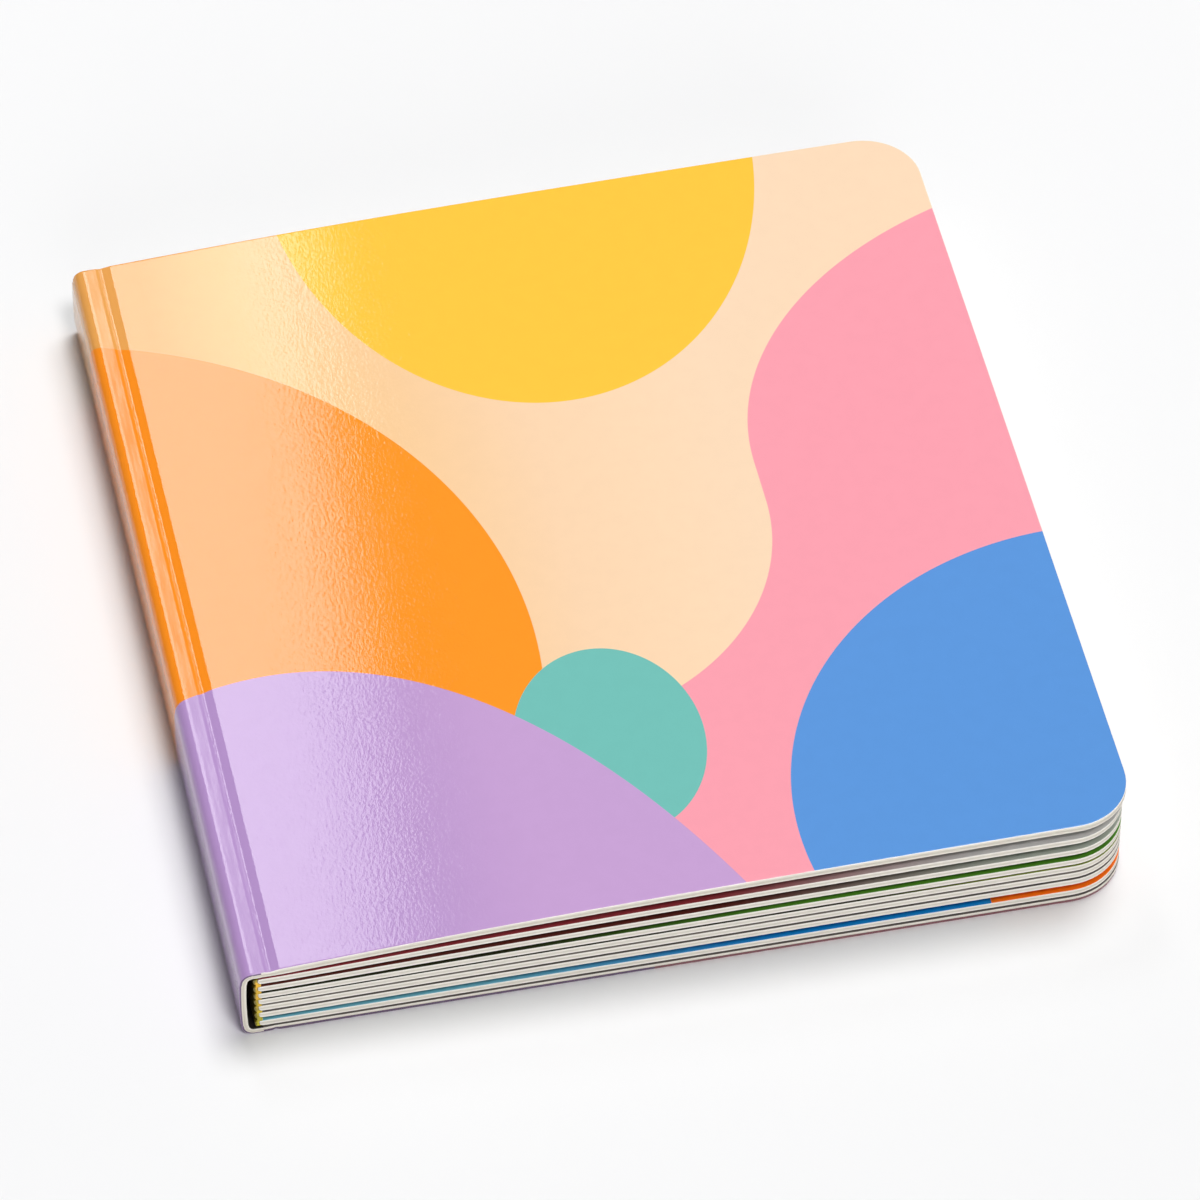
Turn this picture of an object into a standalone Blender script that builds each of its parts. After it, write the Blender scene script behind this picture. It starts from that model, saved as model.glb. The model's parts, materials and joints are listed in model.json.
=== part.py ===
"""A closed board book: a scored cover board wrapped round a block of thick glued pages.

It lies on its back cover. X runs from the spine to the fore-edge, Y from tail to head, Z is up,
and the origin is at the middle of its footprint.
"""

from math import ceil, pi, sin

import bmesh
import bpy
from mathutils import Matrix, Vector

MM = 0.001

# Trimmed size
WIDTH = 160 * MM
HEIGHT = 176 * MM
CORNER_RADIUS = 11 * MM
TRIM_WASTE = 2 * MM
SPINE_X = -WIDTH / 2
FORE_X = WIDTH / 2

# Boards
COVER_BOARD = 1.40 * MM
SPINE_BOARD = 1.25 * MM
LEAF_BOARD = 1.32 * MM
LEAF_COUNT = 7

# Gaps between the boards, from the front cover down to the back cover
GAPS_AT_FOLD = [gap * MM for gap in (0.50, 0.65, 0.50, 0.27, 0.38, 0.45, 0.85, 0.36)]
GAPS_AT_FORE_EDGE = [gap * MM for gap in (1.85, 1.55, 1.27, 0.45, 0.45, 0.48, 1.46, 0.45)]

# How the boards fan apart: a bend just past the crease, then a fan that levels out
BEND_SHARE = 0.30
BEND_POWER = 9
FAN_POWER = 1.45
FAN_STATIONS = 16

# Hollow spine
SPINE_BOW = 0.25 * MM
SPINE_BOW_RADIUS = 70 * MM
OUTER_CORNER = 2.2 * MM
INNER_CORNER = 1.0 * MM
STRIP_TOP = 15.85 * MM

# Scored creases beside the spine, where the covers turn
CREASE_X = SPINE_X + 6.2 * MM
SCORE_WIDTH = 2.2 * MM
SCORE_DEPTH = 0.45 * MM
PANEL_X = CREASE_X + SCORE_WIDTH / 2
PIVOT_CLEARANCE = 0.15 * MM

# Backs of the folded pages, with the notches between them, and the glue on them
FOLD_X = SPINE_X + 3.3 * MM
FOLD_WALL = 0.9 * MM
FOLD_CORNER = 0.45 * MM
NOTCH_DEPTH = 0.5 * MM
GLUE_THICKNESS = 0.6 * MM

PIECE_GAP = 0.3 * MM
ARC_STEP = pi / 12


def clear_scene():
    for item in list(bpy.data.objects):
        bpy.data.objects.remove(item, do_unlink=True)


def material(name, colour, roughness):
    made = bpy.data.materials.new(name)
    made.use_nodes = True
    surface = made.node_tree.nodes["Principled BSDF"]
    surface.inputs["Base Color"].default_value = (*colour, 1.0)
    surface.inputs["Roughness"].default_value = roughness
    surface.inputs["Metallic"].default_value = 0.0
    return made


# ---------------------------------------------------------------- heights of the stacked boards

BOARDS = [COVER_BOARD] + [LEAF_BOARD] * LEAF_COUNT + [COVER_BOARD]


def fanned(x):
    """How far the boards have fanned apart at x: 0 as far as the crease, 1 at the fore-edge."""
    along = min(max(0.0, (x - PANEL_X) / (FORE_X - PANEL_X)), 1.0)
    bend = 1 - (1 - along) ** BEND_POWER * (1 + BEND_POWER * along)
    fan = 1 - (1 - along) ** FAN_POWER
    return BEND_SHARE * bend + (1 - BEND_SHARE) * fan


def underside(board, x):
    """Height of the underside of a board at x. Board 0 is the front cover, the last the back cover."""
    height = sum(BOARDS[board + 1:])
    for fold, edge in zip(GAPS_AT_FOLD[board:], GAPS_AT_FORE_EDGE[board:]):
        height += fold + (edge - fold) * fanned(x)
    return height


def top_side(board, x):
    return underside(board, x) + BOARDS[board]


def stations(start, end):
    """Values of x from start to end, closer together beside the crease, where the boards bend."""
    steps = [(step / FAN_STATIONS) ** 1.6 for step in range(FAN_STATIONS + 1)]
    return [start + (end - start) * step for step in steps]


# ---------------------------------------------------------------- outlines and solids

def rounded(corners):
    """Closed outline through (x, z, radius) corners, each turned by an arc of its radius."""
    outline = []
    for index, (x, z, radius) in enumerate(corners):
        corner = Vector((x, z))
        if radius == 0:
            outline.append(corner)
            continue
        before = (Vector(corners[index - 1][:2]) - corner).normalized()
        after = (Vector(corners[(index + 1) % len(corners)][:2]) - corner).normalized()
        half_angle = before.angle(after) / 2
        centre = corner + (before + after).normalized() * radius / sin(half_angle)
        first = corner + before * (corner - centre).dot(-before) - centre
        last = corner + after * (corner - centre).dot(-after) - centre
        turn = first.angle_signed(last)
        steps = max(2, ceil(abs(turn) / ARC_STEP))
        for step in range(steps + 1):
            spoke = Matrix.Rotation(-turn * step / steps, 2) @ first
            outline.append(centre + spoke)
    return outline


def solid(name, outline, place, sweep, look):
    """Extrude an outline, put in space by place(u, v), along the sweep vector."""
    shape = bmesh.new()
    first = shape.faces.new([shape.verts.new(place(u, v)) for u, v in outline])
    swept = bmesh.ops.extrude_face_region(shape, geom=[first])
    moved = [item for item in swept["geom"] if isinstance(item, bmesh.types.BMVert)]
    bmesh.ops.translate(shape, vec=sweep, verts=moved)
    bmesh.ops.recalc_face_normals(shape, faces=shape.faces)
    mesh = bpy.data.meshes.new(name)
    shape.to_mesh(mesh)
    shape.free()
    mesh.materials.append(look)
    made = bpy.data.objects.new(name, mesh)
    bpy.context.scene.collection.objects.link(made)
    return made


def across_spine(name, outline, length, look):
    """A piece of constant section in X and Z that runs from tail to head."""
    return solid(name, outline, lambda x, z: (x, -length / 2, z), (0, length, 0), look)


def trimming_die():
    """The die that trims head, tail and fore-edge of covers and pages together."""
    beyond_spine = SPINE_X - 10 * MM
    corners = [
        (beyond_spine, -HEIGHT / 2, 0),
        (FORE_X, -HEIGHT / 2, CORNER_RADIUS),
        (FORE_X, HEIGHT / 2, CORNER_RADIUS),
        (beyond_spine, HEIGHT / 2, 0),
    ]
    floor, height = -10 * MM, 50 * MM
    look = material("die", (0.5, 0.5, 0.5), 0.5)
    die = solid("trimming_die", rounded(corners), lambda x, y: (x, y, floor), (0, 0, height), look)
    die.hide_render = True
    die.display_type = "WIRE"
    return die


def trim(piece, die):
    cut = piece.modifiers.new("trim", "BOOLEAN")
    cut.operation = "INTERSECT"
    cut.solver = "EXACT"
    cut.object = die


def pivoted(piece, pivot):
    """Put the piece's origin on its hinge axis without moving the piece."""
    piece.data.transform(Matrix.Translation(-pivot))
    piece.location = pivot


# ---------------------------------------------------------------- the pieces

def front_cover(look):
    """The front panel: it starts in the score and rises with the fan of the pages."""
    past_fore = FORE_X + TRIM_WASTE
    run = stations(PANEL_X, past_fore)
    score_bottom = top_side(0, CREASE_X) - SCORE_DEPTH
    edge_x = CREASE_X + PIECE_GAP / 2
    outline = [(edge_x, underside(0, edge_x))]
    outline += [(x, underside(0, x)) for x in run]
    outline += [(x, top_side(0, x)) for x in reversed(run)]
    outline += [(edge_x, score_bottom)]
    return across_spine("front_cover", outline, HEIGHT + 2 * TRIM_WASTE, look)


def back_cover(look):
    """The back panel: flat, with its score on the underside."""
    past_fore = FORE_X + TRIM_WASTE
    edge_x = CREASE_X + PIECE_GAP / 2
    outline = [
        (edge_x, SCORE_DEPTH),
        (PANEL_X, 0),
        (past_fore, 0),
        (past_fore, COVER_BOARD),
        (edge_x, COVER_BOARD),
    ]
    return across_spine("back_cover", outline, HEIGHT + 2 * TRIM_WASTE, look)


def spine_wrap(look):
    """The hollow back: bowed spine wall, rounded corners and the two hinge strips."""
    wall_x = SPINE_X + SPINE_BOW
    inner_x = wall_x + SPINE_BOARD
    middle = STRIP_TOP / 2
    edge_x = CREASE_X - PIECE_GAP / 2
    score_x = CREASE_X - SCORE_WIDTH / 2
    corners = [
        (edge_x, STRIP_TOP - SCORE_DEPTH, 0),
        (score_x, STRIP_TOP, 0),
        (wall_x, STRIP_TOP, OUTER_CORNER),
        (SPINE_X, middle, SPINE_BOW_RADIUS),
        (wall_x, 0, OUTER_CORNER),
        (score_x, 0, 0),
        (edge_x, SCORE_DEPTH, 0),
        (edge_x, SPINE_BOARD, 0),
        (inner_x, SPINE_BOARD, INNER_CORNER),
        (inner_x - SPINE_BOW, middle, SPINE_BOW_RADIUS),
        (inner_x, STRIP_TOP - SPINE_BOARD, INNER_CORNER),
        (edge_x, STRIP_TOP - SPINE_BOARD, 0),
    ]
    return across_spine("spine_wrap", rounded(corners), HEIGHT, look)


def page_block(look):
    """Seven leaves joined by the rounded backs of their folds, with a notch between neighbours."""
    past_fore = FORE_X + TRIM_WASTE
    slit_x = FOLD_X + FOLD_WALL
    corners = []
    for leaf in range(1, LEAF_COUNT + 1):
        run = stations(slit_x, past_fore)
        corners += [(x, top_side(leaf, x), 0) for x in run]
        corners += [(x, underside(leaf, x), 0) for x in reversed(run)]
    for leaf in range(LEAF_COUNT, 0, -1):
        low, high = underside(leaf, FOLD_X), top_side(leaf, FOLD_X)
        if leaf < LEAF_COUNT:
            notch_z = (low + top_side(leaf + 1, FOLD_X)) / 2
            corners.append((FOLD_X + NOTCH_DEPTH, notch_z, 0))
        corners.append((FOLD_X, low, FOLD_CORNER))
        corners.append((FOLD_X, high, FOLD_CORNER))
    return across_spine("page_block", rounded(corners), HEIGHT + 2 * TRIM_WASTE, look)


def spine_glue(look):
    """The film of glue over the backs of the folds."""
    right = FOLD_X - PIECE_GAP
    left = right - GLUE_THICKNESS
    low = underside(LEAF_COUNT, FOLD_X)
    high = top_side(1, FOLD_X)
    radius = GLUE_THICKNESS / 3
    corners = [(left, low, radius), (right, low, 0), (right, high, 0), (left, high, radius)]
    return across_spine("spine_glue", rounded(corners), HEIGHT, look)


def main():
    clear_scene()
    printed = material("printed_cover", (0.95, 0.72, 0.50), 0.25)
    spine_print = material("printed_spine", (0.95, 0.50, 0.10), 0.25)
    board = material("page_board", (0.85, 0.82, 0.77), 0.7)
    glue = material("spine_glue", (0.52, 0.44, 0.10), 0.5)
    die = trimming_die()

    front = front_cover(printed)
    back = back_cover(printed)
    pages = page_block(board)
    for piece in (front, back, pages):
        trim(piece, die)
    pivoted(front, Vector((CREASE_X, 0, top_side(0, CREASE_X) + PIVOT_CLEARANCE)))
    pivoted(back, Vector((CREASE_X, 0, -PIVOT_CLEARANCE)))
    spine_wrap(spine_print)
    spine_glue(glue)


main()
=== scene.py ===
"""Looks for the closed board book: laminated and printed boards, pages, glue, lights and camera.

Lengths are in millimetres until a mesh is made. X runs from the spine to the fore-edge, Y from tail
to head and Z up, as in the frame.
"""

import json
from collections import namedtuple
from math import ceil, cos, pi, radians, sin

import bpy
import numpy as np
from mathutils import Matrix, Vector


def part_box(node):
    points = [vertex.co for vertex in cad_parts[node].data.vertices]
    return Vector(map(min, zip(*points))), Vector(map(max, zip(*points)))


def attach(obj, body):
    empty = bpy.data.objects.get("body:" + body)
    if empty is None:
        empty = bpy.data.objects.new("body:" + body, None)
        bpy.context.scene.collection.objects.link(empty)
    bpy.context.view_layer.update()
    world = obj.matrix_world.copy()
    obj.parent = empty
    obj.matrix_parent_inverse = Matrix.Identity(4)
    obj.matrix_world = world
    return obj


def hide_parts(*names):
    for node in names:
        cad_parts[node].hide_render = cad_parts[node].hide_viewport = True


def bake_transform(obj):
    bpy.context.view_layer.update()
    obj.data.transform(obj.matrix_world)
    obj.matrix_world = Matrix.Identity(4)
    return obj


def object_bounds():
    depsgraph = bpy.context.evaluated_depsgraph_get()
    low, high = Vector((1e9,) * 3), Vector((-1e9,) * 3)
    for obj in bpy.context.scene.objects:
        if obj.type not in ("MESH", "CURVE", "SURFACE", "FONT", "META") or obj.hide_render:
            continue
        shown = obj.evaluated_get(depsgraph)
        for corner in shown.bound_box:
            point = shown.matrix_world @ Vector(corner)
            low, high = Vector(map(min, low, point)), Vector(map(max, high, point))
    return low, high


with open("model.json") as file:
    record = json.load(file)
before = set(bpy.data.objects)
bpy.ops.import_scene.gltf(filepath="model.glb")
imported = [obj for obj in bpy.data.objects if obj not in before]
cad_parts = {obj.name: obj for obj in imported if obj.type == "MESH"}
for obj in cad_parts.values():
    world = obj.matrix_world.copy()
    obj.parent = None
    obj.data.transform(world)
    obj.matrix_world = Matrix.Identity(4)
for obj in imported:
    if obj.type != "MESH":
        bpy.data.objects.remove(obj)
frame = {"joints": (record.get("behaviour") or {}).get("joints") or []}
cad_low, cad_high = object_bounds()
MM = 0.001

# ---------------------------------------------------------------- sizes, from the frame where it has them


def node_box(name):
    low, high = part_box(name)
    return low / MM, high / MM


def hinge_place(name):
    joint = next(joint for joint in frame["joints"] if joint["name"] == name)
    return Vector(joint["pos_m"]) / MM


SPINE_X, TAIL_Y, _ = cad_low / MM
FORE_X, HEAD_Y, _ = cad_high / MM
HALF_HEIGHT = (HEAD_Y - TAIL_Y) / 2
COVER_BOARD = node_box("back_cover")[1].z
FOLD_X = node_box("page_block")[0].x
CREASE_X = hinge_place("front_cover_hinge").x

CORNER_RADIUS = 11.0
SPINE_BOARD = 1.25
LEAF_BOARD = 1.32
LEAF_COUNT = 7
BOARDS = [COVER_BOARD] + [LEAF_BOARD] * LEAF_COUNT + [COVER_BOARD]

# Gaps between the boards, from the front cover down to the back cover
GAPS_AT_FOLD = (0.50, 0.65, 0.50, 0.27, 0.38, 0.45, 0.85, 0.36)
GAPS_AT_FORE_EDGE = (1.85, 1.55, 1.27, 0.45, 0.45, 0.48, 1.46, 0.45)
PANEL_X = CREASE_X + 1.1
BEND_SHARE = 0.30
BEND_POWER = 9
FAN_POWER = 1.45

# Hollow spine
SPINE_BOW = 0.25
OUTER_CORNER = 2.2
STRIP_X = SPINE_X + SPINE_BOW + OUTER_CORNER
INNER_CORNER = 1.0

# The cover's top surface from the hinge strip over the score to the bend, as (distance from the
# spine, slope); the panel takes over after the last one
SEAM_X = SPINE_X + 4.0
LIP_X = SPINE_X + 7.7
CREASE_SLOPES = (
    (2.4, 0.035), (4.4, 0.035), (4.6, -0.10), (4.75, -0.38), (4.95, -0.28), (5.1, 0.0),
    (5.35, 0.03), (5.55, 0.08), (5.7, 0.20), (7.0, 0.20), (7.2, 0.17), (7.4, 0.09), (7.7, 0.058),
    (20, 0.057), (33, 0.050), (41, 0.043), (50, 0.0373),
)
BACK_SCORE_DEPTH = 0.30
BACK_SCORE_WIDTH = 0.55

# Cut edges. A round runs out by the radius at the top and at the bottom of the edge; upper and lower
# are their heights, and the last two say how many of their three steps the print covers.
Edge = namedtuple("Edge", "radius upper lower upper_print lower_print")
COVER_EDGE = Edge(0.10, 0.08, 0.12, 0, 2)
SPINE_EDGE = Edge(0.16, 0.32, 0.12, 3, 2)
BACK_EDGE = Edge(0.18, 0.10, 0.80, 2, 3)
LEAF_EDGE = Edge(0.10, 0.08, 0.10, 2, 2)
FILM_EDGE = Edge(0.03, 0.03, 0.03, 2, 2)
PLY_GROOVE = 0.03
PLY_GROOVE_WIDTH = 0.16

# How far the leaves and the back cover stop short of the front cover at the fore-edge
FORE_SHORT = 0.55

# Backs of the folded leaves: how deep the rounding goes, and the parts of the thickness above and
# below it that stay square
FOLD_DEPTH = 0.85
FOLD_UPPER = 0.18
FOLD_LOWER = 0.38

GLUE_FILM = 0.72


# ---------------------------------------------------------------- heights of the stacked boards

def fanned(x):
    """How far the boards have fanned apart at x: 0 as far as the crease, 1 at the fore-edge."""
    along = min(max(0.0, (x - PANEL_X) / (FORE_X - PANEL_X)), 1.0)
    bend = 1 - (1 - along) ** BEND_POWER * (1 + BEND_POWER * along)
    fan = 1 - (1 - along) ** FAN_POWER
    return BEND_SHARE * bend + (1 - BEND_SHARE) * fan


def underside(board, x):
    """Height of the underside of a board at x. Board 0 is the front cover, the last the back cover."""
    height = sum(BOARDS[board + 1:])
    for fold, edge in zip(GAPS_AT_FOLD[board:], GAPS_AT_FORE_EDGE[board:]):
        height += fold + (edge - fold) * fanned(x)
    return height


def top_side(board, x):
    return underside(board, x) + BOARDS[board]


def crease_height(x):
    """Height of the front cover's top surface: the scored crease, the bend, then the panel."""
    knots, slopes = (np.array(column) for column in zip(*CREASE_SLOPES))
    panel_start = SPINE_X + knots[-1]
    if x >= panel_start:
        return top_side(0, x)
    here = x - SPINE_X
    run = np.array([here, *knots[knots > here]])
    rise = np.interp(run, knots, slopes)
    return top_side(0, panel_start) - float(np.sum((rise[1:] + rise[:-1]) / 2 * np.diff(run)))


def lining_height(x):
    """Height of the front cover's inner face: flat under the crease, one board below the panel."""
    return crease_height(max(x, LIP_X)) - COVER_BOARD


def back_score(x):
    """Height of the score pressed into the back cover's outer face."""
    return BACK_SCORE_DEPTH * float(np.exp(-(((x - CREASE_X) / BACK_SCORE_WIDTH) ** 2)))


# ---------------------------------------------------------------- mesh of one bent board

def rows_across(half_length, count=26, support=0.3):
    """Places along Y as fractions of the half length, with a supporting row beside each end."""
    inner = 1 - support / half_length
    return np.array([-1.0, *np.linspace(-inner, inner, count), 1.0])


def cut_profile(thickness, edge):
    """(outwards, down) steps over a cut edge: a small round, the line between the plies, a round."""
    turns = [radians(angle) for angle in (0, 30, 60, 90)]
    radius = edge.radius
    upper = [(radius * sin(turn), edge.upper * (1 - cos(turn))) for turn in turns]
    middle = (edge.upper + thickness - edge.lower) / 2
    plies = [
        (radius, middle - PLY_GROOVE_WIDTH / 2),
        (radius - PLY_GROOVE, middle),
        (radius, middle + PLY_GROOVE_WIDTH / 2),
    ]
    lower = [(radius * sin(turn), thickness - edge.lower * (1 - cos(turn))) for turn in reversed(turns)]
    return np.array(upper + plies + lower)


def board(name, stations, section, looks, edge):
    """A closed sheet of board.

    stations lists (x, half length, plan angle) inside the cut edge, from the spine to the fore-edge;
    section(index, dx) gives the upper and lower (x, z) points there, dx further out; looks are the
    materials of the upper face, the cut edge and the lower face.
    """
    stations = list(stations)
    count = len(stations)
    rows = rows_across(HALF_HEIGHT)
    points, plies = [], []

    def add(point, ply):
        points.append(point)
        plies.append(ply)
        return len(points) - 1

    upper = np.zeros((count, len(rows)), int)
    lower = np.zeros((count, len(rows)), int)
    for index, (_, reach, _) in enumerate(stations):
        (top_x, top_z), (low_x, low_z) = section(index, 0.0)
        for row, part in enumerate(rows):
            upper[index, row] = add((top_x, part * reach, top_z), 0.0)
            lower[index, row] = add((low_x, part * reach, low_z), 1.0)

    last_row = len(rows) - 1
    around = [(index, 0) for index in range(count)]
    around += [(count - 1, row) for row in range(1, last_row + 1)]
    around += [(index, last_row) for index in range(count - 2, -1, -1)]
    around += [(0, row) for row in range(last_row - 1, 0, -1)]

    middle_top, middle_low = section(count // 2, 0.0)
    thickness = (Vector(middle_top) - Vector(middle_low)).length
    cut = cut_profile(thickness, edge)
    rings = []
    for index, row in around:
        _, reach, turn = stations[index]
        if row == 0:
            outward = (sin(turn), -cos(turn))
        elif row == last_row:
            outward = (sin(turn), cos(turn))
        else:
            outward = (1.0, 0.0) if index else (-1.0, 0.0)
        ring = [upper[index, row]]
        for out, down in cut[1:-1]:
            ply = down / thickness
            (top_x, top_z), (low_x, low_z) = section(index, outward[0] * out)
            x = top_x + (low_x - top_x) * ply
            z = top_z + (low_z - top_z) * ply
            ring.append(add((x, rows[row] * reach + outward[1] * out, z), ply))
        ring.append(lower[index, row])
        rings.append(ring)

    faces, kinds = [], []
    for index in range(count - 1):
        for row in range(last_row):
            here = upper[index, row], upper[index + 1, row]
            there = upper[index + 1, row + 1], upper[index, row + 1]
            faces.append((*here, *there))
            kinds.append(0)
            here = lower[index, row + 1], lower[index + 1, row + 1]
            there = lower[index + 1, row], lower[index, row]
            faces.append((*here, *there))
            kinds.append(2)
    steps = len(cut) - 1
    for first, second in zip(rings, rings[1:] + rings[:1]):
        for step in range(steps):
            faces.append((first[step], first[step + 1], second[step + 1], second[step]))
            kinds.append(0 if step < edge.upper_print else 2 if step >= steps - edge.lower_print else 1)
    return piece(name, points, faces, kinds, looks, plies)


def piece(name, points, faces, kinds, looks, plies):
    """A shaded mesh object that keeps its rest places, in millimetres, and its ply depth for the looks."""
    points = np.array(points, float)
    mesh = bpy.data.meshes.new(name)
    mesh.from_pydata((points * MM).tolist(), [], [[int(corner) for corner in face] for face in faces])
    for look in looks:
        mesh.materials.append(look)
    mesh.polygons.foreach_set("material_index", np.array(kinds, np.int32))
    place = mesh.attributes.new("sheet", "FLOAT_VECTOR", "POINT")
    place.data.foreach_set("vector", points.astype(np.float32).ravel())
    ply = mesh.attributes.new("ply", "FLOAT", "POINT")
    ply.data.foreach_set("value", np.array(plies, np.float32))
    mesh.shade_smooth()
    mesh.set_sharp_from_angle(angle=radians(50))
    mesh.update()
    made = bpy.data.objects.new(name, mesh)
    bpy.context.scene.collection.objects.link(made)
    return made


# ---------------------------------------------------------------- plans of the boards

def fore_corner(radius, short=0.0):
    """Stations round the fore-edge corners, inside a cut edge of this radius."""
    centre_x = FORE_X - short - CORNER_RADIUS
    inner = CORNER_RADIUS - radius
    turns = np.linspace(0, pi / 2, 15)
    return [
        (centre_x + inner * sin(turn), HALF_HEIGHT - CORNER_RADIUS + inner * cos(turn), turn)
        for turn in turns
    ]


def straight_run(start, end, radius, count, power=1.5):
    """Stations between the crease and the corners, closer together where the boards bend."""
    steps = (np.arange(count) / count) ** power
    return [(start + (end - start) * step, HALF_HEIGHT - radius, 0.0) for step in steps]


def fold_curve(x):
    """0 at the back of a leaf's fold and 1 where the leaf has its full thickness."""
    out = min(max((FOLD_X + FOLD_DEPTH - x) / FOLD_DEPTH, 0.0), 1.0)
    return (1 - out * out) ** 0.5


def fold_run(count=9):
    """Stations over the rounded back of a fold."""
    first = FOLD_X + LEAF_EDGE.radius
    width = FOLD_X + FOLD_DEPTH - first
    turns = np.linspace(0, pi / 2, count)[:-1]
    return [(first + width * (1 - cos(turn)), HALF_HEIGHT - LEAF_EDGE.radius, 0.0) for turn in turns]


# ---------------------------------------------------------------- node helpers

LIGHT_ON_COVER = 1.04
SHARP = 0.05


def linear(*srgb):
    """Linear colour from the 0-255 values that a picture of it shows."""
    shown = np.array(srgb) / 255
    return np.where(shown <= 0.04045, shown / 12.92, ((shown + 0.055) / 1.055) ** 2.4)


def ink(*srgb):
    """Base colour that shows as this colour on the lit cover."""
    return (*np.clip(linear(*srgb) / LIGHT_ON_COVER, 0.001, 0.95).tolist(), 1.0)


class Look:
    """The node tree of one material, with short helpers."""

    def __init__(self, name, roughness):
        self.material = bpy.data.materials.new(name)
        self.material.use_nodes = True
        self.tree = self.material.node_tree
        self.surface = self.tree.nodes["Principled BSDF"]
        self.surface.inputs["Roughness"].default_value = roughness
        self.place = self.attribute("sheet", "Vector")
        split = self.add("ShaderNodeSeparateXYZ")
        self.link(self.place, split.inputs[0])
        self.x, self.y, self.z = split.outputs

    def add(self, kind, **settings):
        node = self.tree.nodes.new(kind)
        for key, value in settings.items():
            setattr(node, key, value)
        return node

    def link(self, source, target):
        if isinstance(source, bpy.types.NodeSocket):
            self.tree.links.new(source, target)
        else:
            target.default_value = source

    def attribute(self, name, output):
        return self.add("ShaderNodeAttribute", attribute_name=name).outputs[output]

    def math(self, operation, *values):
        node = self.add("ShaderNodeMath", operation=operation)
        for value, target in zip(values, node.inputs):
            self.link(value, target)
        return node.outputs[0]

    def ramp(self, value, low, high, to_low=0.0, to_high=1.0, smooth=True):
        """value taken from low..high to to_low..to_high."""
        node = self.add("ShaderNodeMapRange")
        node.interpolation_type = "SMOOTHSTEP" if smooth else "LINEAR"
        for source, target in zip((value, low, high, to_low, to_high), node.inputs):
            self.link(source, target)
        return node.outputs[0]

    def mixed(self, factor, first, second, blend="MIX"):
        node = self.add("ShaderNodeMix", data_type="RGBA", blend_type=blend)
        sockets = [s for s in node.inputs if s.enabled]
        for source, target in zip((factor, first, second), sockets):
            self.link(source, target)
        return next(s for s in node.outputs if s.enabled)

    def noise(self, size, detail=2.0, stretch=(1, 1, 1)):
        """Noise with features of about this size in millimetres."""
        mapping = self.add("ShaderNodeMapping")
        mapping.inputs["Scale"].default_value = [1 / (size * part) for part in stretch]
        self.link(self.place, mapping.inputs["Vector"])
        node = self.add("ShaderNodeTexNoise")
        node.inputs["Scale"].default_value = 1.0
        node.inputs["Detail"].default_value = detail
        self.link(mapping.outputs[0], node.inputs["Vector"])
        return node.outputs["Fac"]

    def bump(self, height, depth, normal=None):
        """Bump whose height of 0 to 1 stands for this depth in millimetres."""
        node = self.add("ShaderNodeBump")
        node.inputs["Strength"].default_value = 1.0
        node.inputs["Distance"].default_value = depth * MM
        self.link(height, node.inputs["Height"])
        if normal is not None:
            self.link(normal, node.inputs["Normal"])
        return node.outputs[0]

    def disc(self, centre, radii, edge=SHARP):
        """1 inside an ellipse of the print and 0 outside it."""
        across = self.math("DIVIDE", self.math("SUBTRACT", self.x, centre[0]), radii[0])
        along = self.math("DIVIDE", self.math("SUBTRACT", self.y, centre[1]), radii[1])
        squares = self.math("ADD", self.math("POWER", across, 2.0), self.math("POWER", along, 2.0))
        soft = edge / (radii[0] * radii[1]) ** 0.5
        return self.ramp(self.math("SQRT", squares), 1 + soft, 1 - soft)


# ---------------------------------------------------------------- the print

CREAM = (252, 220, 187)
CREAM_TURN = ((-80, (236, 166, 84)), (-68, (238, 166, 86)), (-52, (249, 186, 112)), (-35, (250, 205, 150)),
              (-5, (252, 215, 177)), (15, (253, 219, 183)), (30, CREAM))
YELLOW = (255, 202, 67)
ORANGE = (254, 153, 38)
PURPLE = (200, 162, 213)
TEAL = (116, 194, 185)
PINK = (252, 162, 177)
BLUE = (93, 152, 222)
ORANGE_AT_SPINE = (253, 144, 28)
PURPLE_AT_SPINE = (182, 147, 203)
DEEPEST_X, PLAIN_X = -58, -22
COVER_CUT = (248, 244, 234)
LEAF_CUT = (254, 251, 243)
# Near-black inner face of the hollow spine: painted shade inside the hollow
HOLLOW_SHADE = (44, 38, 32)

# Where the cream meets the low pink: round below this centre and straight above it
LOBE_X, LOBE_Y = -13.4, 0.5
LOBE_RADIUS = 46.4
LOW_PINK_TOP = 10.35


def cream_ground(look):
    """The cream of the ground, warmer towards the spine."""
    turn = look.add("ShaderNodeValToRGB")
    start, end = CREAM_TURN[0][0], CREAM_TURN[-1][0]
    stops = turn.color_ramp.elements
    for index, (x, colour) in enumerate(CREAM_TURN):
        part = (x - start) / (end - start)
        stop = stops[index] if index < 2 else stops.new(part)
        stop.position = part
        stop.color = ink(*colour)
    look.link(look.ramp(look.x, start, end, smooth=False), turn.inputs[0])
    return turn.outputs[0]


def painted(look, ground, fields):
    for mask, colour in fields:
        ground = look.mixed(mask, ground, colour)
    return ground


def deeper_at_spine(look, colour, at_spine):
    return look.mixed(look.ramp(look.x, DEEPEST_X, PLAIN_X), ink(*at_spine), ink(*colour))


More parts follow.
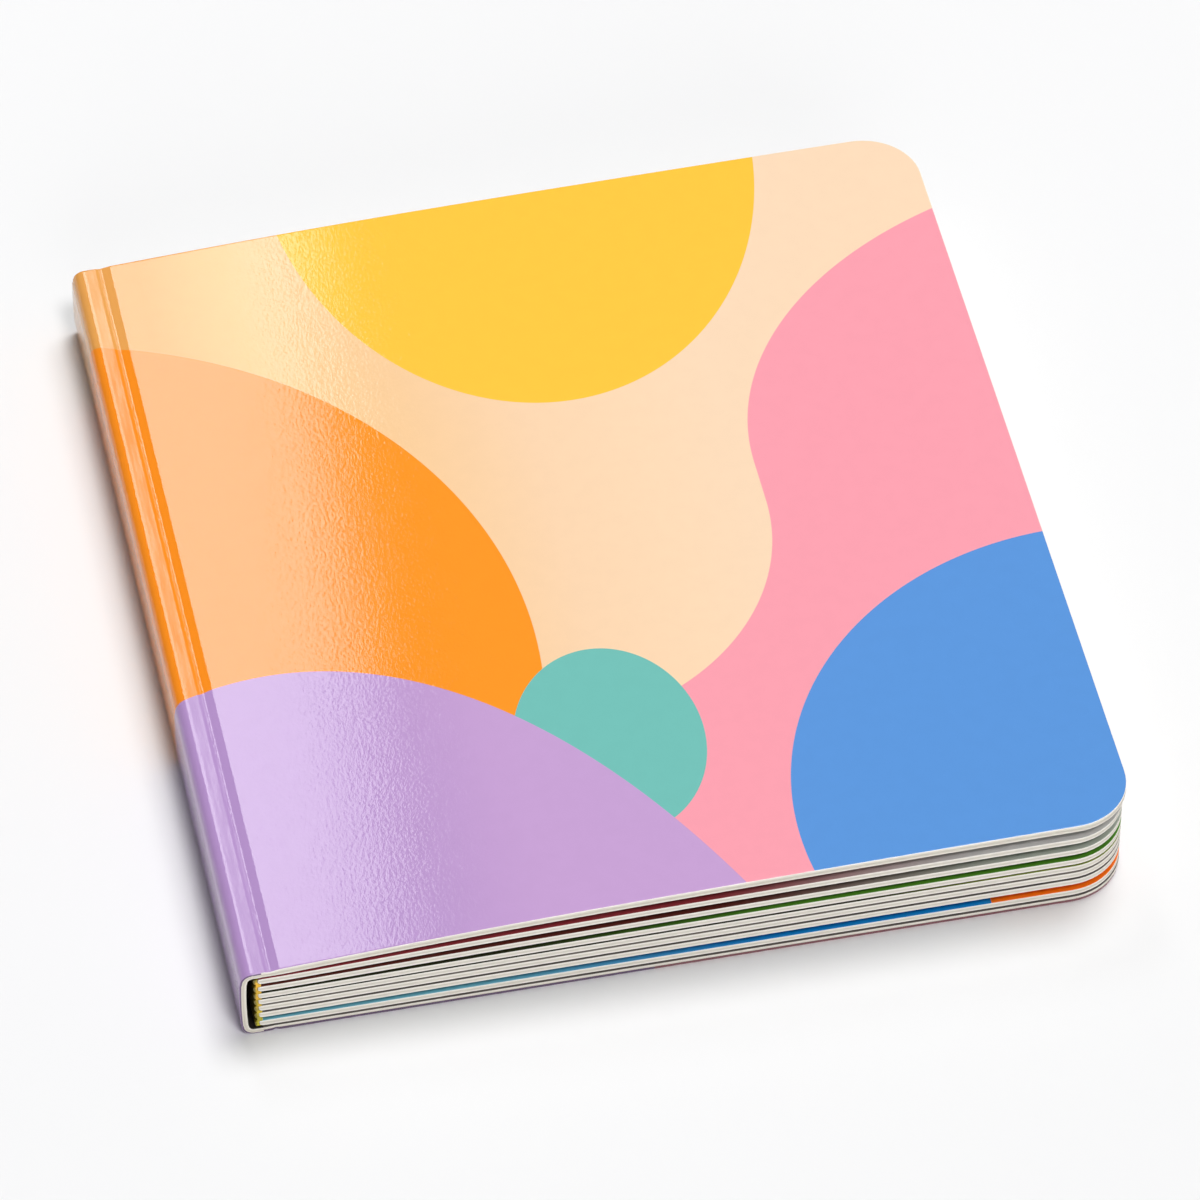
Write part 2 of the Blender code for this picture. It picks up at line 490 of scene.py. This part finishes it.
def front_print(look):
    """The fields of colour on the front cover and the spine."""
    lobe_y = look.math("MINIMUM", look.math("SUBTRACT", look.y, LOBE_Y), 0.0)
    lobe_x = look.math("SUBTRACT", look.x, LOBE_X)
    lobe = look.math("SQRT", look.math(
        "ADD", look.math("POWER", lobe_x, 2.0), look.math("POWER", lobe_y, 2.0)))
    outside = look.ramp(lobe, LOBE_RADIUS - SHARP, LOBE_RADIUS + SHARP)
    beyond = look.math("MULTIPLY", outside, look.ramp(look.x, LOBE_X - 2 * SHARP, LOBE_X + 2 * SHARP))
    below = look.ramp(look.y, LOW_PINK_TOP + SHARP, LOW_PINK_TOP - SHARP)
    low_pink = look.math("MULTIPLY", beyond, below)
    return painted(look, cream_ground(look), [
        (look.disc((4.55, 100.35), (46.3, 67.4)), ink(*YELLOW)),
        (low_pink, ink(*PINK)),
        (look.disc((113.2, 10.3), (80.2, 62.6)), ink(*PINK)),
        (look.disc((-108.4, -21.6), (94.1, 94.1)), deeper_at_spine(look, ORANGE, ORANGE_AT_SPINE)),
        (look.disc((-6.6, -50.4), (16.8, 22.3)), ink(*TEAL)),
        (look.disc((-64.55, -264.7), (107.65, 244.1)), deeper_at_spine(look, PURPLE, PURPLE_AT_SPINE)),
        (look.disc((82.3, -79.0), (61.2, 61.2)), ink(*BLUE)),
    ])


def back_print(look):
    """The back cover carries the spine's orange and purple on, with a large pink field."""
    return painted(look, cream_ground(look), [
        (look.disc((96, -70), (112, 118)), ink(*PINK)),
        (look.disc((40, 62), (44, 44)), ink(*TEAL)),
        (look.disc((-108.4, -21.6), (70, 94.1)), ink(*ORANGE)),
        (look.disc((-84.0, -145.0), (88.0, 119.7)), ink(*PURPLE)),
        (look.disc((88, 96), (46, 40)), ink(*YELLOW)),
    ])


def laminated(name, design, dark_rim=None):
    """Ink under a glossy film, over board.

    The film is grained like orange peel, rubbed and streaky on the strip beside the spine, and
    puckered along the score. dark_rim is the range of ply over which the ink darkens on the edge;
    on the back cover's rolled lower edge this darkening is painted shade where the edge meets the floor.
    """
    look = Look(name, 0.12)
    mottle_and_dark_rim = look.ramp(look.noise(3.2, 3.0), 0.3, 0.7, 0.985, 1.0)
    if dark_rim:
        ply = look.attribute("ply", "Fac")
        mottle_and_dark_rim = look.math("MULTIPLY", mottle_and_dark_rim, look.ramp(ply, *dark_rim))
    shade = look.add("ShaderNodeCombineColor")
    for target in shade.inputs:
        look.link(mottle_and_dark_rim, target)
    colour = look.mixed(1.0, design(look), shade.outputs[0], "MULTIPLY")
    look.link(colour, look.surface.inputs["Base Color"])

    strip = look.ramp(look.x, CREASE_X - 0.4, CREASE_X - 1.0)
    strip = look.math("MULTIPLY", strip, look.ramp(look.x, STRIP_X, STRIP_X + 0.5))
    smooth_film = look.ramp(look.noise(6.0, 2.0), 0.3, 0.7, 0.035, 0.06)
    rubbed_film = look.ramp(look.noise(0.7, 2.0, (1, 14.0, 1)), 0.3, 0.7, 0.15, 0.30)
    roughness = look.add("ShaderNodeMix", data_type="FLOAT")
    look.link(strip, roughness.inputs["Factor"])
    look.link(smooth_film, roughness.inputs["A"])
    look.link(rubbed_film, roughness.inputs["B"])
    look.link(roughness.outputs["Result"], look.surface.inputs["Roughness"])

    waves = look.bump(look.noise(9.0, 1.0, (1, 1.6, 1)), 0.010)
    grain = look.bump(look.noise(0.60, 3.0, (1, 1.35, 1)), 0.0185, waves)
    from_valley = look.math("ABSOLUTE", look.math("SUBTRACT", look.x, CREASE_X - 1.1))
    pucker = look.math("MULTIPLY", look.ramp(from_valley, 0.8, 0.2), look.noise(1.1, 3.0, (0.7, 1.3, 1)))
    grain = look.bump(pucker, 0.06, grain)
    look.link(grain, look.surface.inputs["Normal"])
    return look.material


def cut_board(name, shade):
    """Cut edge of board: pale faces, a duller middle with the shadow line of the joint, torn fibres."""
    look = Look(name, 0.85)
    ply = look.attribute("ply", "Fac")
    from_middle = look.math("ABSOLUTE", look.math("SUBTRACT", ply, 0.5))
    dull = [value * part for value, part in zip(shade, (0.90, 0.885, 0.865))]
    joint = [value * 0.80 for value in dull]
    colour = look.mixed(look.ramp(from_middle, 0.12, 0.42), ink(*dull), ink(*shade))
    colour = look.mixed(look.ramp(from_middle, 0.07, 0.02, 0.0, 0.5), colour, ink(*joint))
    fibres = look.noise(0.5, 4.0, (3.0, 3.0, 0.3))
    colour = look.mixed(look.ramp(fibres, 0.35, 0.65, 0.0, 0.3), colour, ink(*dull))
    look.link(colour, look.surface.inputs["Base Color"])
    look.link(look.bump(fibres, 0.02), look.surface.inputs["Normal"])
    return look.material


def page_print(name, ground, fields):
    """A satin printed page with large plain fields."""
    look = Look(name, 0.42)
    colour = painted(look, ink(*ground), [
        (look.disc(centre, radii, edge), ink(*tint)) for centre, radii, tint, edge in fields
    ])
    tooth = look.noise(0.7, 3.0)
    colour = look.mixed(look.ramp(tooth, 0.3, 0.8, 0.0, 0.02), colour, ink(235, 232, 226))
    look.link(colour, look.surface.inputs["Base Color"])
    look.link(look.bump(tooth, 0.006), look.surface.inputs["Normal"])
    return look.material


def dried_glue():
    """Amber glue brushed over the backs of the folds, darkened by painted shade towards the hollow and away
    from the head and tail ends.
    """
    olive, amber = (0.60, 0.52, 0.01, 1), (0.90, 0.50, 0.02, 1)
    streak, deep, shaded = (0.34, 0.27, 0.01, 1), (0.12, 0.09, 0.01, 1), (0.10, 0.07, 0.02, 1)
    look = Look("dried_glue", 0.32)
    runs = look.noise(2.4, 3.0, (1, 3.0, 0.5))
    colour = look.mixed(look.ramp(look.z, 3.0, 9.0), olive, amber)
    streaks = look.ramp(look.noise(1.3, 2.0), 0.35, 0.65)
    colour = look.mixed(streaks, colour, streak)
    # Painted shade: the glue darkens towards the hollow behind the folds
    hollow_shade_mask = look.ramp(look.x, FOLD_X - 0.1, FOLD_X - 0.7)
    colour = look.mixed(hollow_shade_mask, colour, deep)
    # Painted shade: the glue darkens away from the head and tail ends, deeper inside the spine
    inside = look.ramp(look.math("ABSOLUTE", look.y), HALF_HEIGHT - 1.0, HALF_HEIGHT - 5.0)
    colour = look.mixed(inside, colour, shaded)
    look.link(colour, look.surface.inputs["Base Color"])
    look.link(look.bump(runs, 0.08), look.surface.inputs["Normal"])
    return look.material


# ---------------------------------------------------------------- the pieces

def cover_run(count, short=0.0):
    """Stations of a cover panel: close together over the crease, then on to the fore-edge corners."""
    reach = HALF_HEIGHT - COVER_EDGE.radius
    step = 0.11
    crease = [(SEAM_X + step * index, reach, 0.0) for index in range(ceil((PANEL_X + 0.6 - SEAM_X) / step))]
    corner = fore_corner(COVER_EDGE.radius, short)
    return crease + straight_run(crease[-1][0] + step, corner[0][0], COVER_EDGE.radius, count) + corner


def front_cover_board(looks):
    """The front panel with its scored crease, cut from one board."""
    stations = cover_run(56)

    def section(index, dx):
        x = stations[index][0] + dx
        return (x, crease_height(x)), (x, lining_height(x))

    return board("front_cover_board", stations, section, looks, COVER_EDGE)


def back_cover_board(looks):
    """The flat back panel with the score pressed into its outer face."""
    stations = cover_run(40, FORE_SHORT)

    def section(index, dx):
        x = stations[index][0] + dx
        part = min(max((x - SEAM_X) / 2.0, 0.0), 1.0)
        return (x, SPINE_BOARD + (COVER_BOARD - SPINE_BOARD) * part), (x, back_score(x))

    return board("back_cover_board", stations, section, looks, BACK_EDGE)


def arc(centre, radius, start, end, steps):
    turns = np.linspace(start, end, steps)
    return [(centre[0] + radius * cos(turn), centre[1] + radius * sin(turn)) for turn in turns]


def spine_side(wall_x, low_z, high_z, radius, bow):
    """(x, z) points from the bottom strip round the spine wall to the top strip."""
    bottom = [(SEAM_X + (wall_x + radius - SEAM_X) * part, low_z) for part in (0, 0.3, 0.6, 0.85)]
    bottom += arc((wall_x + radius, low_z + radius), radius, -pi / 2, -pi, 12)
    rise = np.linspace(low_z + radius, high_z - radius, 26)[1:-1]
    wall = [
        (wall_x - bow * (1 - (2 * (z - low_z) / (high_z - low_z) - 1) ** 2), z) for z in rise
    ]
    top = arc((wall_x + radius, high_z - radius), radius, pi, pi / 2, 12)
    top += [(wall_x + radius + (SEAM_X - wall_x - radius) * part, high_z) for part in (0.15, 0.4, 0.7, 1)]
    return bottom + wall + top


def spine_case(looks):
    """The hollow back of the cover: bottom strip, bowed wall and top strip."""
    wall_x = SPINE_X + SPINE_BOW
    strip_slope = CREASE_SLOPES[0][1]
    seam_z = crease_height(SEAM_X)
    top_z = seam_z - strip_slope * (SEAM_X - wall_x - OUTER_CORNER)
    outer = spine_side(wall_x, 0.0, top_z, OUTER_CORNER, SPINE_BOW)
    inner_x = wall_x + SPINE_BOARD
    inner_top = lining_height(SEAM_X)
    inner = spine_side(inner_x, SPINE_BOARD, inner_top, INNER_CORNER, SPINE_BOW)
    outer = [
        (x, z + strip_slope * max(0.0, x - wall_x - OUTER_CORNER) if z > top_z - 1e-6 else z)
        for x, z in outer
    ]
    stations = [(x, HALF_HEIGHT - COVER_EDGE.radius, 0.0) for x, _ in outer]

    def section(index, _):
        return outer[index], inner[index]

    return board("spine_case", stations, section, looks, SPINE_EDGE)


def leaf(number, looks):
    """One leaf: two pasted plies, folded at the spine with a rounded back."""
    corner = fore_corner(LEAF_EDGE.radius, FORE_SHORT)
    run = straight_run(FOLD_X + FOLD_DEPTH, corner[0][0], LEAF_EDGE.radius, 48, 1.3)
    stations = fold_run() + run + corner

    def section(index, dx):
        x = stations[index][0] + dx
        top, curve = top_side(number, x), fold_curve(x)
        upper = top - LEAF_BOARD * FOLD_UPPER * (1 - curve)
        lower = top - LEAF_BOARD * (FOLD_LOWER + (1 - FOLD_LOWER) * curve)
        return (x, upper), (x, lower)

    return board(f"leaf_{number}", stations, section, looks, LEAF_EDGE)


def glue_film(look):
    """Glue over the backs of the folds, sunk into the notch under each fold."""
    low, high = underside(LEAF_COUNT, FOLD_X) + 0.1, top_side(1, FOLD_X) - 0.1
    heights = np.linspace(low, high, 140)

    def sunk(z):
        number = next(n for n in range(LEAF_COUNT, 0, -1) if z <= top_side(n, FOLD_X) + 1e-6)
        down = (top_side(number, FOLD_X) - z) / LEAF_BOARD
        above = max(0.0, 1 - down / FOLD_UPPER)
        below = min(max(0.0, (down - FOLD_LOWER) / (1 - FOLD_LOWER)), 1.0)
        return FOLD_DEPTH * (1 - ((1 - above ** 2) * (1 - below ** 2)) ** 0.5)

    outer = [(FOLD_X - GLUE_FILM - 0.03 + 0.5 * sunk(z), z) for z in heights]
    inner = [(FOLD_X - 0.03 + 0.8 * sunk(z), z) for z in heights]
    stations = [(x, HALF_HEIGHT - 0.06, 0.0) for x, _ in outer]

    def section(index, _):
        return outer[index], inner[index]

    return board("glue_film", stations, section, [look] * 3, FILM_EDGE)


# ---------------------------------------------------------------- the stage

def floor():
    size = 6.0
    corners = [(-size, -size, 0), (size, -size, 0), (size, size, 0), (-size, size, 0)]
    mesh = bpy.data.meshes.new("floor")
    mesh.from_pydata(corners, [], [(0, 1, 2, 3)])
    made = bpy.data.objects.new("floor", mesh)
    made.location.z = -0.00001
    bpy.context.scene.collection.objects.link(made)
    look = bpy.data.materials.new("paper_sweep")
    look.use_nodes = True
    surface = look.node_tree.nodes["Principled BSDF"]
    surface.inputs["Base Color"].default_value = (0.85, 0.85, 0.855, 1)
    surface.inputs["Roughness"].default_value = 0.9
    surface.inputs["Specular IOR Level"].default_value = 0.1
    mesh.materials.append(look)


def aimed(name, data, azimuth, elevation, distance, target=(0, 0, 0), roll=0.0):
    """An object that looks at the target. Azimuth 0 is beyond the head, 90 beyond the fore-edge."""
    turn, rise = radians(azimuth), radians(elevation)
    back = Vector((sin(turn) * cos(rise), cos(turn) * cos(rise), sin(rise)))
    made = bpy.data.objects.new(name, data)
    made.location = Vector(target) + back * distance
    facing = back.to_track_quat("Z", "Y").to_matrix().to_4x4()
    made.rotation_euler = (facing @ Matrix.Rotation(roll, 4, "Z")).to_euler()
    bpy.context.scene.collection.objects.link(made)
    return made


def sun(name, azimuth, elevation, level, spread):
    """A broad far light that gives a facing white surface this brightness."""
    data = bpy.data.lights.new(name, "SUN")
    data.energy = level * pi
    data.angle = radians(spread)
    aimed(name, data, azimuth, elevation, 2.0)


def softbox(name, azimuth, elevation, distance, width, height, radiance, roll=0.0):
    data = bpy.data.lights.new(name, "AREA")
    data.shape = "RECTANGLE"
    data.size, data.size_y = width, height
    data.energy = radiance * pi * width * height
    return aimed(name, data, azimuth, elevation, distance, roll=roll)


def lights():
    world = bpy.data.worlds.new("studio")
    world.use_nodes = True
    background = world.node_tree.nodes["Background"]
    background.inputs["Color"].default_value = (1, 1, 1, 1)
    background.inputs["Strength"].default_value = 0.12
    bpy.context.scene.world = world
    sun("overhead", azimuth=42, elevation=68, level=0.61, spread=30)
    sun("front_fill", azimuth=164, elevation=62, level=0.37, spread=14)
    sun("edge_fill", azimuth=178, elevation=10, level=0.30, spread=40)
    softbox(
        "back_softbox", azimuth=-6.8, elevation=48.1, distance=1.3,
        width=0.215, height=0.36, radiance=5.6, roll=radians(-15),
    )


def camera():
    data = bpy.data.cameras.new("camera")
    data.lens = 247.7
    data.sensor_width = 36.0
    data.clip_end = 50.0
    made = bpy.data.objects.new("camera", data)
    place = Vector((-0.20945, -1.00270, 1.09891))
    aim = Vector((0.00229, 0.00025, 0.0))
    made.location = place
    made.rotation_euler = (place - aim).to_track_quat("Z", "Y").to_euler()
    bpy.context.scene.collection.objects.link(made)
    bpy.context.scene.camera = made


# ---------------------------------------------------------------- the printed spreads

GREY = (205, 203, 200)
# Ground of spreads 6 and 8, painted dark as the shade in those narrow gaps
GAP_SHADE_GREY = (112, 104, 98)
TAIL_SPINE = (-80, -88)

# The facing pages of each gap, from the front cover down: the ground, then its fields as (centre,
# radii, colour, width of the soft edge)
# The dark grounds of spreads 4, 6 and 8, which face the narrowest gaps, are painted shade of those thin
# gaps
SPREADS = [
    (GREY, [(TAIL_SPINE, (108, 110), (156, 52, 60), 28)]),
    ((176, 182, 170), [(TAIL_SPINE, (114, 110), (104, 40, 30), 30)]),
    ((84, 146, 34), [(TAIL_SPINE, (74, 80), (44, 46, 14), 32)]),
    ((60, 56, 40), [((80, -60), (40, 60), (140, 150, 60), 20)]),
    ((150, 142, 134), []),
    (GAP_SHADE_GREY, []),
    ((0, 144, 214), [
        (TAIL_SPINE, (66, 80), (118, 190, 206), 34),
        ((103.9, -88), (50, 70), (255, 128, 0), 0.05),
    ]),
    (GAP_SHADE_GREY, []),
]


def main():
    front_look = laminated("front_print", front_print)
    spine_look = laminated("spine_print", front_print, (0.002, 0.05, 1.0, 0.35))
    # The back cover's ink darkens over its rolled lower edge: painted shade where the edge meets the floor
    back_look = laminated("back_print", back_print, (0.90, 0.995, 0.22, 1.0))
    cover_edge = cut_board("cover_board_edge", COVER_CUT)
    leaf_edge = cut_board("leaf_board_edge", LEAF_CUT)
    # The hollow spine's inner face is painted near black as the shade inside the hollow
    hollow_shade_look = page_print("hollow_lining_painted_shade", HOLLOW_SHADE, [])
    spreads = [page_print(f"spread_{number}", *spread) for number, spread in enumerate(SPREADS, start=1)]

    front = front_cover_board([front_look, cover_edge, spreads[0]])
    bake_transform(front)
    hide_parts("front_cover")

    back = back_cover_board([spreads[-1], cover_edge, back_look])
    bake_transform(back)
    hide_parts("back_cover")

    case = spine_case([spine_look, cover_edge, hollow_shade_look])
    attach(case, "book_block")
    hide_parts("spine_wrap")

    for number in range(1, LEAF_COUNT + 1):
        made = leaf(number, [spreads[number - 1], leaf_edge, spreads[number]])
        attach(made, "book_block")
        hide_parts("page_block")

    glue = glue_film(dried_glue())
    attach(glue, "book_block")
    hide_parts("spine_glue")

    floor()
    lights()
    camera()
    bpy.context.scene.view_settings.view_transform = "Standard"


main()
